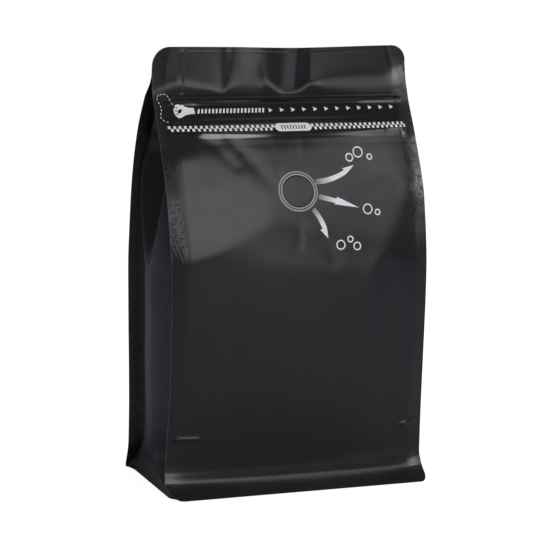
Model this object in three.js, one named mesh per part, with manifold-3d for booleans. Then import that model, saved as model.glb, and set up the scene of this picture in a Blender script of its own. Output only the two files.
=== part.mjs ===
// Flat bottom coffee bag, filled, shut and standing: one film pouch with a one-way valve in its front panel.
// Millimetres, +Z up. The front panel faces -Y, and the origin is on the floor under the middle of the bag.
import * as THREE from "three";
import { mergeVertices } from "three/addons/utils/BufferGeometryUtils.js";
import Module from "manifold-3d";

const { lerp, smoothstep } = THREE.MathUtils;

// Overall sizes of the standing bag
const BAG_HEIGHT = 208;

// Roundings of the panels' corners. The front left foot was cut and pressed rounder than the rest.
const TOP_CORNER_LEFT = 9;
const TOP_CORNER_RIGHT = 7;
const FOOT_CORNER_FRONT_LEFT = 8;
const FOOT_CORNER_FRONT_RIGHT = 3.5;
const FOOT_CORNER_BACK = 1.2;

// Seals: the upright corner fins and the lips under the front and back panels
const FIN_THICK = 0.7;
const FIN_LEFT_OPEN = 0.6;
const FOOT_SLOT_START = 16;
const LIP_THICK = 1;
const LIP_GROOVE_WIDTH = 3;
const LIP_GROOVE_DEPTH = 2;

// Header above the zipper, where all films are pressed flat together
const HEADER_START = 184;
const HEADER_FLAT = 197;
const HEADER_FRONT = -6.8;
const HEADER_THICK = 1.9;
const HEADER_LAYERS = 3;
const HEADER_BEND = 1.2;
const TOP_DIP = 0.9;
const TOP_DIP_X = 8;
const TOP_DIP_SPREAD = 34;

// Zipper band and the crease above the bottom seal, raised and pressed into the panels
const ZIPPER_LOW = 166.5;
const ZIPPER_HIGH = 182;
const ZIPPER_RISE = 1;
const ZIPPER_EDGE = 1.6;
const FOOT_CREASE_HEIGHT = 28.5;
const FOOT_CREASE_DEPTH = 0.5;
const FOOT_CREASE_SPREAD = 1.6;

// One-way valve: a ring and disc set in a seat in the front panel
const VALVE_X = -2.3;
const VALVE_HEIGHT = 142.2;
const VALVE_RADIUS = 9.6;
const VALVE_RING_WIDTH = 1.7;
const VALVE_DEPTH = 1.3;
const VALVE_RING_RISE = 0.45;
const VALVE_FACE_RISE = 0.1;
const VALVE_CHAMFER = 0.25;
const VALVE_FLAT_ZONE = 14;
const SEAT_CLEARANCE = 0.3;
const SEAT_OPEN = 4;
const SLIVER_WIDTH = 0.005;
const ROUND_SEGMENTS = 48;

// Profiles by height, each a row of [height, size]. Depths are along Y, widths are half widths along X.
const HALF_WIDTH = [[0, 65], [15, 63.9], [65, 62.7], [110, 62.8], [150, 63.2], [BAG_HEIGHT, 63.3]];
const SEAL_WIDTH = [[0, 8.6], [16, 6.8], [196, 6.8], [BAG_HEIGHT, 9.6]];
const FRONT_EDGE = [
  [0, -37.1], [6, -30.9], [10.4, -29], [15, -28.4], [65, -35.1], [105, -37.6], [135, -33.8],
  [165, -21.5], [186, -9.9], [BAG_HEIGHT, 2.25],
];
const BACK_EDGE = [
  [0, 38.6], [13, 36.2], [65, 39.4], [100, 38.6], [125, 33.4],
  [150, 25.3], [170, 15], [185, 2.5], [HEADER_FLAT, -4.9], [BAG_HEIGHT, -3.6],
];
// How far the panels stand out from their edges: over the seal fin, and over the belly between the fins
const FIN_RISE = [
  [0, 0.2], [15, 1.2], [50, 3], [110, 3], [135, 2.5], [150, 2.4], [163, 2.2], [172, 1.1], [180, 0.2],
  [HEADER_START, 0], [BAG_HEIGHT, 0],
];
const BELLY_RISE = [
  [0, 0], [15, 2.4], [50, 4.2], [95, 4.6], [120, 4.3], [141, 4], [155, 4.3], [163, 4.4], [166, 3.7],
  [170, 2.2], [176, 1.2], [HEADER_START, 0.4], [BAG_HEIGHT, 0],
];
const BACK_BELLY_SHARE = 0.62;
// Side gusset: ridge and middle crease, out from the fins' roots (inward is negative), and the ridge's place
const GUSSET_FOLD_START = 105;
const RIDGE_OUT = [
  [0, 5.8], [20, 6.6], [60, 8], [GUSSET_FOLD_START, 8], [130, 6.8],
  [145, 5.2], [160, 2.5], [175, 0.4], [BAG_HEIGHT, 0],
];
const CREASE_OUT = [
  [0, 5.8], [20, 6.8], [60, 8.2], [GUSSET_FOLD_START, 8.2], [130, -5], [145, -14],
  [160, -24], [178, -29], [186, -22], [192, -4], [HEADER_FLAT, 0], [BAG_HEIGHT, 0],
];
const RIDGE_PLACE = [
  [0, 0.78], [8, 0.6], [20, 0.2], [60, 0.14], [GUSSET_FOLD_START, 0.14],
  [130, 0.45], [145, 0.7], [160, 0.88], [BAG_HEIGHT, 0.88],
];

// How far the upright header stands out of its plane from left to right, each a row of [place along X, size]:
// along the bend below it, and along its top edge
const HEADER_LOW_OUT = [
  [-64, 1.2], [-50, 0.2], [-42, 1], [-35, 1.8], [-29.5, 2.6], [-25.5, 1.5], [-18, 0.9], [-12, 0.9], [-8, 0.3],
  [0, 3], [5, 2.9], [9, 2], [15.5, 0.4], [64, 0.3],
];
const HEADER_HIGH_OUT = [
  [-64, 2.6], [-50, 0.6], [-40, 1.1], [-30, 1.4], [-20.5, -1.6], [-13, -0.7], [-7, 0.6], [1.5, 4], [6.5, 4.3],
  [14.5, 1.9], [64, 0.3],
];

// Numbers of points round the bag
const FRONT_COLUMNS = 28;
const BACK_COLUMNS = 28;
const GUSSET_STEPS = 3;

// Heights where the spacing of the rings changes, each with the number of steps to the next:
// close together where the film bends, wide apart over the belly
const CORNER_RINGS = 5;
const RING_STOPS = [
  [FOOT_CORNER_FRONT_LEFT, 5],
  [FOOT_CREASE_HEIGHT - FOOT_CREASE_SPREAD, 2],
  [FOOT_CREASE_HEIGHT + FOOT_CREASE_SPREAD, 8],
  [GUSSET_FOLD_START, 6],
  [133, 4],
  [161, 1],
  [ZIPPER_LOW - ZIPPER_EDGE, 1],
  [ZIPPER_LOW, 4],
  [ZIPPER_HIGH, 1],
  [ZIPPER_HIGH + ZIPPER_EDGE, 7],
  [BAG_HEIGHT - TOP_CORNER_LEFT, 0],
];

// Smooth curve through rows of [place, size] that never overshoots them
function profile(rows) {
  const slopes = rows.map(([place, size], i) => {
    const before = rows[Math.max(i - 1, 0)];
    const after = rows[Math.min(i + 1, rows.length - 1)];
    const rise = i > 0 ? (size - before[1]) / (place - before[0]) : (after[1] - size) / (after[0] - place);
    const next = i < rows.length - 1 ? (after[1] - size) / (after[0] - place) : rise;
    return rise * next > 0 ? (2 * rise * next) / (rise + next) : 0;
  });
  return (place) => {
    let i = 0;
    while (i < rows.length - 2 && place > rows[i + 1][0]) i += 1;
    const span = rows[i + 1][0] - rows[i][0];
    const t = THREE.MathUtils.clamp((place - rows[i][0]) / span, 0, 1);
    const ease = t * t * (3 - 2 * t);
    const bend = slopes[i] * t * (1 - t) ** 2 - slopes[i + 1] * t * t * (1 - t);
    return lerp(rows[i][1], rows[i + 1][1], ease) + bend * span;
  };
}

const halfWidth = profile(HALF_WIDTH);
const sealWidth = profile(SEAL_WIDTH);
const frontEdge = profile(FRONT_EDGE);
const backEdge = profile(BACK_EDGE);
const finRise = profile(FIN_RISE);
const bellyRise = profile(BELLY_RISE);
const headerLowOut = profile(HEADER_LOW_OUT);
const headerHighOut = profile(HEADER_HIGH_OUT);
const ridgeOut = profile(RIDGE_OUT);
const creaseOut = profile(CREASE_OUT);
const ridgePlace = profile(RIDGE_PLACE);

const hump = (value, centre, spread) => Math.exp(-(((value - centre) / spread) ** 2));

// What a rounded corner takes off a panel's edge at a distance short of the corner
const cornerCut = (radius, short) => radius - Math.sqrt(radius ** 2 - Math.max(radius - short, 0) ** 2);

// Half width of a panel at its fin's tip, on the right (sign 1) or the left (sign -1)
function tipX(z, sign, isFront) {
  const topCorner = sign > 0 ? TOP_CORNER_RIGHT : TOP_CORNER_LEFT;
  const frontCorner = sign > 0 ? FOOT_CORNER_FRONT_RIGHT : FOOT_CORNER_FRONT_LEFT;
  const footCorner = isFront ? frontCorner : FOOT_CORNER_BACK;
  return halfWidth(z) - cornerCut(topCorner, BAG_HEIGHT - z) - cornerCut(footCorner, z);
}

const rootX = (z) => halfWidth(z) - sealWidth(z);

// How far a panel stands out from its edge at a place across it
function panelRise(x, z, bellyShare) {
  const across = Math.abs(x) / rootX(z);
  if (across < 1) return finRise(z) + bellyShare * bellyRise(z) * (1 - across ** 2);
  const finAcross = (Math.abs(x) - rootX(z)) / sealWidth(z);
  return finRise(z) * (1 - Math.min(finAcross, 1));
}

// The front web before it bows: slanted up to the bend, then upright as the header
function frontWeb(x, z) {
  const slanted = frontEdge(z);
  const share = THREE.MathUtils.clamp((z - HEADER_START) / (BAG_HEIGHT - HEADER_START), 0, 1);
  const upright = HEADER_FRONT - lerp(headerLowOut(x), headerHighOut(x), share);
  const bend = HEADER_BEND * smoothstep(z, ZIPPER_LOW, HEADER_START);
  return (slanted + upright - Math.hypot(slanted - upright, bend)) / 2;
}

// Zipper band standing out of a panel, and the crease pressed in above the bottom seal
function bandRise(x, z) {
  const overLow = smoothstep(z, ZIPPER_LOW - ZIPPER_EDGE, ZIPPER_LOW);
  const overHigh = smoothstep(z, ZIPPER_HIGH, ZIPPER_HIGH + ZIPPER_EDGE);
  const crease = FOOT_CREASE_DEPTH * hump(z, FOOT_CREASE_HEIGHT, FOOT_CREASE_SPREAD);
  const betweenFins = Math.abs(x) <= rootX(z) ? 1 : 0;
  return betweenFins * (ZIPPER_RISE * (overLow - overHigh) - crease);
}

function bareFrontY(x, z) {
  return frontWeb(x, z) - panelRise(x, z, 1) - bandRise(x, z);
}

// Plane of the valve: the front panel's own slope at the valve, kept flat around it
const slopeX = bareFrontY(VALVE_X + 1, VALVE_HEIGHT) - bareFrontY(VALVE_X, VALVE_HEIGHT);
const slopeZ = bareFrontY(VALVE_X, VALVE_HEIGHT + 1) - bareFrontY(VALVE_X, VALVE_HEIGHT);
const valvePoint = new THREE.Vector3(VALVE_X, bareFrontY(VALVE_X, VALVE_HEIGHT), VALVE_HEIGHT);
const valveAxis = new THREE.Vector3(slopeX, -1, slopeZ).normalize();

function frontY(x, z) {
  const away = Math.hypot(x - VALVE_X, z - VALVE_HEIGHT);
  const flat = valvePoint.y + slopeX * (x - VALVE_X) + slopeZ * (z - VALVE_HEIGHT);
  return lerp(flat, bareFrontY(x, z), smoothstep(away, VALVE_RADIUS, VALVE_FLAT_ZONE));
}

// The back panel, pressed against the front one in the header
function backY(x, z) {
  const loose = backEdge(z) + panelRise(x, z, BACK_BELLY_SHARE);
  return lerp(loose, frontY(x, z) + HEADER_THICK, smoothstep(z, HEADER_START, HEADER_FLAT));
}

function topDip(x, z) {
  return TOP_DIP * hump(x, TOP_DIP_X, TOP_DIP_SPREAD) * smoothstep(z, HEADER_FLAT, BAG_HEIGHT);
}

// Heights of the rings, with the two ends stepped along the rounded corners
function ringHeights() {
  const heights = [];
  const cornerHeight = (radius, step) => radius * (1 - Math.sin((step / CORNER_RINGS) * Math.PI * 0.5));
  for (let i = CORNER_RINGS; i > 0; i -= 1) heights.push(cornerHeight(FOOT_CORNER_FRONT_LEFT, i));
  for (let stop = 0; stop < RING_STOPS.length - 1; stop += 1) {
    const [from, steps] = RING_STOPS[stop];
    const to = RING_STOPS[stop + 1][0];
    for (let i = 0; i < steps; i += 1) heights.push(lerp(from, to, i / steps));
  }
  for (let i = 0; i <= CORNER_RINGS; i += 1) heights.push(BAG_HEIGHT - cornerHeight(TOP_CORNER_LEFT, i));
  return heights;
}

// Points across a panel from one fin's tip to the other, left to right
function panelPoints(z, columns, isFront) {
  const depthAt = isFront ? frontY : backY;
  const root = rootX(z);
  const xs = [-tipX(z, -1, isFront)];
  for (let i = 0; i <= columns; i += 1) xs.push(lerp(-root, root, i / columns));
  xs.push(tipX(z, 1, isFront));
  return xs.map((x) => new THREE.Vector3(x, depthAt(x, z), z - topDip(x, z)));
}

// One side from the front fin's tip to the back fin's: inner faces of both fins and the gusset between.
// The slots behind the fins close towards the foot and the header.
function sidePoints(z, sign) {
  const frontTip = tipX(z, sign, true);
  const backTip = tipX(z, sign, false);
  const pressed = smoothstep(z, HEADER_START, HEADER_FLAT);
  const closed = Math.max(pressed, 1 - smoothstep(z, 0, FOOT_SLOT_START));
  const frontRootX = lerp(rootX(z), frontTip - FIN_LEFT_OPEN, closed);
  const backRootX = lerp(rootX(z), backTip - FIN_LEFT_OPEN, closed);
  const apart = backY(sign * backTip, z) - frontY(sign * frontTip, z);
  const thick = Math.min(FIN_THICK, apart / HEADER_LAYERS);
  const frontRootY = frontY(sign * frontRootX, z) + thick;
  const backRootY = backY(sign * backRootX, z) - thick;
  const middle = (frontRootY + backRootY) / 2;
  const half = (backRootY - frontRootY) / 2;
  const place = ridgePlace(z);
  const ridge = lerp(rootX(z) + ridgeOut(z), frontRootX, pressed);
  const crease = lerp(rootX(z) + creaseOut(z), frontRootX, pressed);
  const point = (x, y) => new THREE.Vector3(sign * x, y, z - topDip(sign * x, z));
  const gusset = [];
  const leg = (placeFrom, placeTo, xFrom, xTo) => {
    for (let i = 1; i <= GUSSET_STEPS; i += 1) {
      const t = i / GUSSET_STEPS;
      gusset.push(point(lerp(xFrom, xTo, t), middle + half * lerp(placeFrom, placeTo, t)));
    }
  };
  leg(-1, -place, frontRootX, ridge);
  leg(-place, 0, ridge, crease);
  leg(0, place, crease, ridge);
  leg(place, 1, ridge, backRootX);
  const frontFin = [point(frontTip, frontY(sign * frontTip, z) + thick), point(frontRootX, frontRootY)];
  const backFin = [point(backTip, backY(sign * backTip, z) - thick)];
  return [...frontFin, ...gusset, ...backFin];
}

// One closed ring round the bag at a height, counter-clockwise from above
function ringAt(z) {
  const front = panelPoints(z, FRONT_COLUMNS, true);
  const right = sidePoints(z, 1);
  const back = panelPoints(z, BACK_COLUMNS, false).reverse();
  const left = sidePoints(z, -1).reverse();
  return [...front, ...right, ...back, ...left];
}

// Rings under the bag: the standing lip, the groove behind it and the flat panel that carries the bag
function footRings(outline) {
  const depthMiddle = (FRONT_EDGE[0][1] + BACK_EDGE[0][1]) / 2;
  const halfDepth = (BACK_EDGE[0][1] - FRONT_EDGE[0][1]) / 2;
  const halfSide = rootX(0) + RIDGE_OUT[0][1];
  const inset = (distance, height) =>
    outline.map(
      (p) =>
        new THREE.Vector3(
          p.x * (1 - distance / halfSide),
          depthMiddle + (p.y - depthMiddle) * (1 - distance / halfDepth),
          height,
        ),
    );
  return [
    inset(LIP_THICK + 2 * LIP_GROOVE_WIDTH, 0),
    inset(LIP_THICK + LIP_GROOVE_WIDTH, LIP_GROOVE_DEPTH),
    inset(LIP_THICK, 0),
  ];
}

// Closed skin over a stack of rings, capped flat below and above
function loft(rings) {
  const count = rings[0].length;
  const triangles = [];
  for (let level = 0; level < rings.length - 1; level += 1) {
    for (let i = 0; i < count; i += 1) {
      const a = level * count + i;
      const b = level * count + ((i + 1) % count);
      triangles.push(a, b, b + count, a, b + count, a + count);
    }
  }
  const cap = (ring) => THREE.ShapeUtils.triangulateShape(ring.map((p) => new THREE.Vector2(p.x, p.y)), []);
  const top = (rings.length - 1) * count;
  cap(rings[0]).forEach(([a, b, c]) => triangles.push(a, c, b));
  cap(rings[rings.length - 1]).forEach(([a, b, c]) => triangles.push(top + a, top + b, top + c));
  const geometry = new THREE.BufferGeometry().setFromPoints(rings.flat());
  geometry.setIndex(triangles);
  return geometry;
}

// Turns a shape made round the Y axis to stand on the valve's plane
function ontoValve(geometry) {
  const turn = new THREE.Quaternion().setFromUnitVectors(new THREE.Vector3(0, 1, 0), valveAxis);
  geometry.applyQuaternion(turn);
  geometry.translate(valvePoint.x, valvePoint.y, valvePoint.z);
  return geometry;
}

function valveSeat() {
  const depth = VALVE_DEPTH + SEAT_CLEARANCE;
  const radius = VALVE_RADIUS + SEAT_CLEARANCE;
  const seat = new THREE.CylinderGeometry(radius, radius, depth + SEAT_OPEN, ROUND_SEGMENTS);
  seat.translate(0, (SEAT_OPEN - depth) / 2, 0);
  return ontoValve(seat);
}

function valveDisc() {
  const ringInner = VALVE_RADIUS - VALVE_RING_WIDTH;
  const outline = [
    [0, -VALVE_DEPTH],
    [VALVE_RADIUS, -VALVE_DEPTH],
    [VALVE_RADIUS, VALVE_RING_RISE - VALVE_CHAMFER],
    [VALVE_RADIUS - VALVE_CHAMFER, VALVE_RING_RISE],
    [ringInner + VALVE_CHAMFER, VALVE_RING_RISE],
    [ringInner, VALVE_FACE_RISE],
    [0, VALVE_FACE_RISE],
  ];
  const disc = new THREE.LatheGeometry(outline.map(([r, h]) => new THREE.Vector2(r, h)), ROUND_SEGMENTS);
  return ontoValve(disc);
}

const wasm = await Module();
wasm.setup();

function toSolid(geometry) {
  geometry.deleteAttribute("normal");
  geometry.deleteAttribute("uv");
  const merged = mergeVertices(geometry);
  const vertProperties = new Float32Array(merged.attributes.position.array);
  const triVerts = new Uint32Array(merged.index.array);
  return new wasm.Manifold(new wasm.Mesh({ numProp: 3, vertProperties, triVerts }));
}

function toGeometry(solid) {
  const mesh = solid.getMesh();
  const geometry = new THREE.BufferGeometry();
  geometry.setAttribute("position", new THREE.BufferAttribute(mesh.vertProperties, 3));
  geometry.setIndex(new THREE.BufferAttribute(mesh.triVerts, 1));
  geometry.computeVertexNormals();
  return geometry;
}

// Film pouch: panels, gussets, seals and header in one piece, with the seat cut for the valve
// and the slivers along the cut closed up
function makeBag() {
  const rings = ringHeights().map(ringAt);
  const pouch = toSolid(loft([...footRings(rings[0]), ...rings]));
  const seated = pouch.subtract(toSolid(valveSeat())).simplify(SLIVER_WIDTH);
  const film = new THREE.MeshStandardMaterial({ color: 0x17181a, roughness: 0.45, metalness: 0 });
  const bag = new THREE.Mesh(toGeometry(seated), film);
  bag.name = "bag";
  return bag;
}

// One-way valve: a raised ring round a flat disc
function makeValve() {
  const plastic = new THREE.MeshStandardMaterial({ color: 0x55565a, roughness: 0.4, metalness: 0 });
  const valve = new THREE.Mesh(valveDisc(), plastic);
  valve.name = "valve";
  return valve;
}

const coffeeBag = new THREE.Group();
coffeeBag.add(makeBag(), makeValve());

export default coffeeBag;
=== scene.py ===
import math

import bpy
import numpy as np
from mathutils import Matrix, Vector


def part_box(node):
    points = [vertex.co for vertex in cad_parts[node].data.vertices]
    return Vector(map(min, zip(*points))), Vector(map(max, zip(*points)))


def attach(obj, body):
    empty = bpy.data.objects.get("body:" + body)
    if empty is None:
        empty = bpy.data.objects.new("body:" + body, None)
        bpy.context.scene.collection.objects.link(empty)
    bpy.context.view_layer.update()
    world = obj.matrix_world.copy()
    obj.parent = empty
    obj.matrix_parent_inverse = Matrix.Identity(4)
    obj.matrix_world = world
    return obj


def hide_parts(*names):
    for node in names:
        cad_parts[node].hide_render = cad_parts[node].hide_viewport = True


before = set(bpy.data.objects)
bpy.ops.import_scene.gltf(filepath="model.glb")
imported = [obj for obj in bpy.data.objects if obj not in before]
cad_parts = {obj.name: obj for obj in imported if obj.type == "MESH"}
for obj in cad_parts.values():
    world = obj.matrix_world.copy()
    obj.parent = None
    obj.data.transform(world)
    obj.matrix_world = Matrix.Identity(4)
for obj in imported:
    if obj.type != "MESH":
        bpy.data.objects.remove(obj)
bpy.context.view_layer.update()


# Front panel: a web of matte black laminated film, bowed out by the coffee, its foot flared as a sealed lip.
# Its sides are heat sealed to the gussets as fins, and above the zipper it is pressed flat as the header.
# Shapes are worked out in millimetres, with heights above the floor, and the meshes are made in metres.
MM = 0.001
BAG_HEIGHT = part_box("bag")[1].z / MM
FILM_THICK = 0.34
TOP_CORNERS = {-1: 9, 1: 7}
FRONT_FOOT_CORNERS = {-1: 8, 1: 3.5}
HEADER_START = 184
HEADER_FLAT = 198


def smooth(value, low, high):
    """Eased step from 0 at low to 1 at high."""
    t = np.clip((value - low) / (high - low), 0, 1)
    return t * t * (3 - 2 * t)


def hump(value, centre, spread):
    return np.exp(-(((value - centre) / spread) ** 2))


def profile(rows):
    """Smooth curve through rows of (place, size) that never overshoots them."""
    places, sizes = np.array(rows, float).T
    steps = np.diff(sizes) / np.diff(places)
    before = np.append(steps[:1], steps)
    after = np.append(steps, steps[-1:])
    same_way = before * after > 0
    slopes = np.where(same_way, 2 * before * after / np.where(same_way, before + after, 1), 0)

    def size_at(place):
        i = np.clip(np.searchsorted(places, place) - 1, 0, len(steps) - 1)
        span = places[i + 1] - places[i]
        t = np.clip((place - places[i]) / span, 0, 1)
        bend = slopes[i] * t * (1 - t) ** 2 - slopes[i + 1] * t * t * (1 - t)
        return sizes[i] + (sizes[i + 1] - sizes[i]) * smooth(t, 0, 1) + bend * span

    return size_at


half_width = profile([(0, 65), (15, 63.9), (65, 62.7), (110, 62.8), (150, 63.2), (BAG_HEIGHT, 63.3)])
seal_width = profile([(0, 8.6), (16, 6.8), (196, 6.8), (BAG_HEIGHT, 9.6)])


def corner_cut(radius, short):
    """What a rounded corner takes off an edge at a distance short of the corner."""
    return radius - np.sqrt(np.maximum(radius**2 - np.maximum(radius - short, 0) ** 2, 0))


def fin_tip(z, side, foot_corner):
    """Half width of a panel out to its fin's tip, on the right (side 1) or the left (side -1)."""
    return half_width(z) - corner_cut(TOP_CORNERS[side], BAG_HEIGHT - z) - corner_cut(foot_corner, z)


def fin_root(z):
    return half_width(z) - seal_width(z)


# Place of the web's edges along Y by height, and how far the fins and the belly stand out from them
SEAL_GROOVE = 0.16
SEAL_GROOVE_SPREAD = 0.9
GROOVE_START, GROOVE_FULL = 8, 24
front_edge = profile([
    (0, -37.1), (6, -30.9), (7.4, -29.9), (10.4, -29), (12.8, -28.45), (15, -28.4), (18, -28.8),
    (65, -35.1), (105, -37.6), (135, -33.8), (165, -21.5), (186, -9.9), (BAG_HEIGHT, 2.25),
])
fin_rise = profile([
    (0, 0.2), (15, 1.2), (50, 3), (110, 3), (135, 2.5), (150, 2.4), (163, 2.2), (172, 1.1), (180, 0.2),
    (184, 0), (BAG_HEIGHT, 0),
])
belly_rise = profile([
    (0, 0), (15, 2.4), (50, 4.2), (95, 4.6), (120, 4.3), (141, 4), (155, 4.35), (163.2, 4.85),
    (165.6, 4.6), (170, 2.6), (176, 1.3), (184, 0.4), (BAG_HEIGHT, 0),
])


def panel_rise(x, z):
    """How far the front panel stands out from its edges at a place across it."""
    across = np.abs(x) / fin_root(z)
    belly = fin_rise(z) + belly_rise(z) * (1 - across**2)
    fin = fin_rise(z) * (1 - np.minimum((np.abs(x) - fin_root(z)) / seal_width(z), 1))
    groove = SEAL_GROOVE * hump(np.abs(x) - fin_root(z), 0, SEAL_GROOVE_SPREAD)
    return np.where(across < 1, belly, fin) - groove * smooth(z, GROOVE_START, GROOVE_FULL)


# The zipper inside shows as a sealed strip, a raised tape above it and a tear line on the tape's upper edge
STRIP_LOW, STRIP_HIGH = 166.2, 169.6
STRIP_FADE = 6
ZIPPER_EASE = (-3, 1.5)
zipper_rise = profile([
    (0, 0), (163, 0), (166.2, 0.64), (169.2, 2.1), (170.2, 2.15), (173.3, 1.3), (174.2, 1.33),
    (175.1, 1), (181, 0.66), (182, 0.9), (183, 0.15), (184.2, 0), (184.8, 0.09), (185.4, 0),
    (205, 0), (205.6, 0.06), (206.2, 0), (BAG_HEIGHT, 0),
])
# Share of the strip's rise that shows on the front, from left to right
strip_share = profile([(-64, 0.3), (-49, 0.3), (-43, 0.85), (-40, 1), (64, 1)])


def zipper_out(x, z):
    """How far the zipper lifts a panel, eased out over the roots of its fins."""
    return zipper_rise(z) * smooth(fin_root(z) - np.abs(x), *ZIPPER_EASE)


# How far the upright header stands out from left to right, along the bend below it and along its top edge,
# and how soft that bend from the slanted shoulder is
HEADER_Y = -6.8
header_low = profile([
    (-64, 2.2), (-50, 0.2), (-42, 1), (-35, 1.8), (-29.5, 2.6), (-25.5, 1.5), (-18, 0.9), (-12, 0.9),
    (-8, 0.3), (0, 3), (5, 2.9), (9, 2), (15.5, 0.4), (64, 0.3),
])
header_high = profile([
    (-64, 3.6), (-50, 0.6), (-40, 1.1), (-30, 1.4), (-20.5, -1.6), (-13, -0.7), (-7, 0.6), (1.5, 4),
    (6.5, 4.3), (14.5, 1.9), (64, 0.3),
])
bend_size = profile([
    (-64, 1.3), (-44, 1), (-35, 0.6), (-28, 0.6), (-20, 2), (-12, 1.6), (-6, 0.6), (15, 0.6), (22, 1.6),
    (40, 2.3), (64, 2),
])


def front_web(x, z):
    """The web's place along Y before it bows: slanted up to the bend, then upright as the header."""
    slanted = front_edge(z)
    share = np.clip((z - HEADER_START) / (BAG_HEIGHT - HEADER_START), 0, 1)
    upright = HEADER_Y - header_low(x) - (header_high(x) - header_low(x)) * share
    return (slanted + upright - np.hypot(slanted - upright, bend_size(x))) / 2


# Soft folds in the panel: start, end, spread and depth inwards
FRONT_FOLDS = (
    # Below and along the sealed strip
    ((-9.5, 167), (-10.5, 150), 2, 0.26),
    ((3.4, 167), (2.4, 150), 2.2, 0.24),
    ((-43, 167), (-30, 154), 3.2, 0.3),
    ((-32, 167), (-27.5, 160.5), 3.2, 0.26),
    ((-27.5, 160.5), (-14, 146), 4, 0.42),
    ((-44, 168.6), (-14, 168.6), 1.6, -0.3),
    ((48, 168.6), (58, 168.6), 1.6, 0.25),
    ((-52, 158.5), (-32, 159.5), 7, -0.42),
    ((-60, 156), (-52, 157), 5, -0.3),
    # Right fin, header and tear line
    ((59.8, 164), (59.9, 130), 2.6, -0.16),
    ((61, 188), (61, 191.5), 5, -1),
    ((-47.8, 206), (-49.4, 187), 0.8, -0.25),
    ((-48.5, 182.5), (-43, 182.2), 0.8, -0.3),
    ((38, 182.1), (58, 182.6), 0.9, -0.36),
    # Round the valve and down the belly
    ((-2.5, 130.5), (-3.6, 118), 2.6, 0.32),
    ((3.5, 129), (13.7, 111), 3.6, 0.42),
    ((28, 139.5), (54, 147.5), 3.4, 0.3),
    ((-56, 109), (-14, 131), 8, -0.75),
    ((51, 141), (32, 95), 8, -0.7),
    ((-36.8, 98), (-34.3, 32), 4.5, 0.42),
    ((40, 104), (42, 38), 5, 0.4),
    ((52, 80), (55, 25), 3, -0.3),
    # Creases and corners at the foot
    ((-59, 28.1), (-49.3, 27.9), 1.3, -0.85),
    ((50, 27.6), (53.5, 28.5), 1, -0.5),
    ((53.5, 28.3), (59, 29.2), 1.1, -0.85),
    ((-40, 30.4), (40, 30.4), 1.2, 0.06),
    ((24, 11.5), (46, 11.5), 3.5, -0.45),
    ((58, 11.2), (63, 11.4), 2.8, 0.42),
)
# Slight unevenness of the filled film: long and short waves, their heights, lengths and shifts
LONG_RIPPLE, LONG_ACROSS, LONG_UP, LONG_SHIFT = 0.05, 9.1, 13.3, 0.5
LONG_SWAY, LONG_SWAY_UP = 0.7, 17
SHORT_RIPPLE, SHORT_ACROSS, SHORT_UP, SHORT_SHIFT = 0.015, 4.3, 6.1, 1.3
SHORT_SLANT, SHORT_LEAN = 11, 15


def fold_depth(x, z, folds):
    depth = 0
    for (x0, z0), (x1, z1), spread, fold in folds:
        square = (x1 - x0) ** 2 + (z1 - z0) ** 2
        t = np.clip(((x - x0) * (x1 - x0) + (z - z0) * (z1 - z0)) / square, 0, 1)
        away = np.hypot(x - x0 - t * (x1 - x0), z - z0 - t * (z1 - z0))
        depth = depth + fold * hump(away, 0, spread)
    return depth


def ripple(x, z):
    sway = LONG_SWAY * np.sin(z / LONG_SWAY_UP)
    long_waves = np.sin(x / LONG_ACROSS + sway) * np.sin(z / LONG_UP + LONG_SHIFT)
    short_waves = np.sin(x / SHORT_ACROSS - z / SHORT_SLANT + SHORT_SHIFT)
    short_waves = short_waves * np.sin(z / SHORT_UP + x / SHORT_LEAN)
    return LONG_RIPPLE * long_waves + SHORT_RIPPLE * short_waves


def bare_front(x, z):
    """The front panel's place along Y before the valve flattens it."""
    pressed = 1 + (strip_share(x) - 1) * (1 - smooth(z, STRIP_HIGH, STRIP_HIGH + STRIP_FADE))
    out = panel_rise(x, z) + zipper_out(x, z) * pressed + ripple(x, z)
    return front_web(x, z) - out + fold_depth(x, z, FRONT_FOLDS)


# The valve that is welded to the panel flattens the film round it
valve_low, valve_high = (np.array(corner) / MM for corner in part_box("valve"))
VALVE_X, VALVE_HEIGHT = (valve_low + valve_high)[[0, 2]] / 2
VALVE_RADIUS = (valve_high - valve_low)[0] / 2
VALVE_FLAT_ZONE = 2.8 * VALVE_RADIUS
VALVE_HOLD = 0.3
SLOPE_STEP = 4


def slope_at_valve(dx, dz):
    ahead = bare_front(VALVE_X + dx, VALVE_HEIGHT + dz)
    behind = bare_front(VALVE_X - dx, VALVE_HEIGHT - dz)
    return (ahead - behind) / (2 * SLOPE_STEP)


valve_slope_x = slope_at_valve(SLOPE_STEP, 0)
valve_slope_z = slope_at_valve(0, SLOPE_STEP)
valve_depth = bare_front(VALVE_X, VALVE_HEIGHT)


def front_depth(x, z):
    """The front panel's place along Y."""
    away = np.hypot(x - VALVE_X, z - VALVE_HEIGHT)
    flat = valve_depth + valve_slope_x * (x - VALVE_X) + valve_slope_z * (z - VALVE_HEIGHT)
    bare = bare_front(x, z)
    return bare + VALVE_HOLD * (flat - bare) * (1 - smooth(away, VALVE_RADIUS, VALVE_FLAT_ZONE))


# The top edge dips a little to the right of its middle
TOP_DIP = 0.9
TOP_DIP_X = 8
TOP_DIP_SPREAD = 34


def top_dip(x, z):
    return TOP_DIP * hump(x, TOP_DIP_X, TOP_DIP_SPREAD) * smooth(z, HEADER_FLAT, BAG_HEIGHT)


# Rows and columns of the film's mesh, closer together where it bends, with a narrow column for each cut edge
CORNER_STEPS = 14
LEAST_STEP = 0.05
CUT_EDGE = 0.15
SHARP_EDGE = math.radians(50)


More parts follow.
